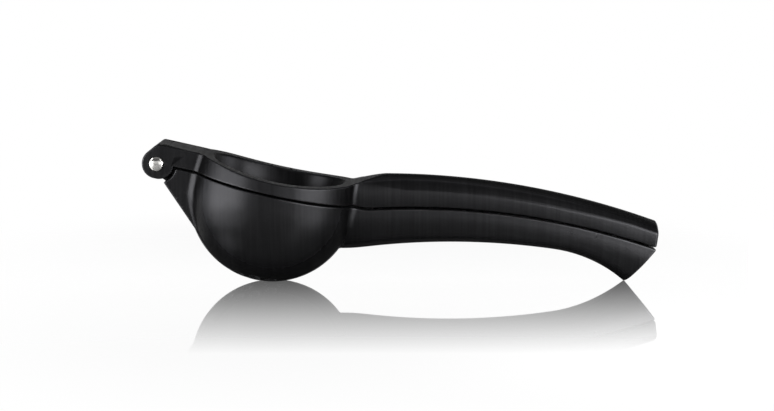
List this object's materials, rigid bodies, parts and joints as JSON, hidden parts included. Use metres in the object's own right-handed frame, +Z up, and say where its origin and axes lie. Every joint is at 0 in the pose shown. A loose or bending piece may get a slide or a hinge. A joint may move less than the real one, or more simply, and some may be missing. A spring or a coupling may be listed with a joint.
{
  "type": "citrus squeezer",
  "caption": "Hinged lemon squeezer: a holed bowl and a hollow round plunger on bowed handles, joined by a riveted hinge and closed by hand.",
  "frame": {"origin": "on the table under the middle of the outline, with the tool closed and standing on the bowl and the lower handle's tip", "axes": "+X from the hinge towards the handles' end, +Z up, +Y across the tool to its far side"},
  "size_m": [0.2156, 0.07, 0.0592],
  "materials": {
    "black_coating": "satin black coating on cast aluminium, finely brushed",
    "rivet_steel": "polished stainless steel"
  },
  "bodies": {
    "lower_lever": {"lower_lever": "black_coating"},
    "upper_lever": {"upper_lever": "black_coating", "hinge_rivet": "rivet_steel"}
  },
  "joints": [
    {"name": "lever_hinge", "type": "hinge", "parent": "lower_lever", "child": "upper_lever", "pos_m": [-0.1016, 0, 0.051], "axis": [0, -1, 0], "range_deg": [0, 120]}
  ]
}
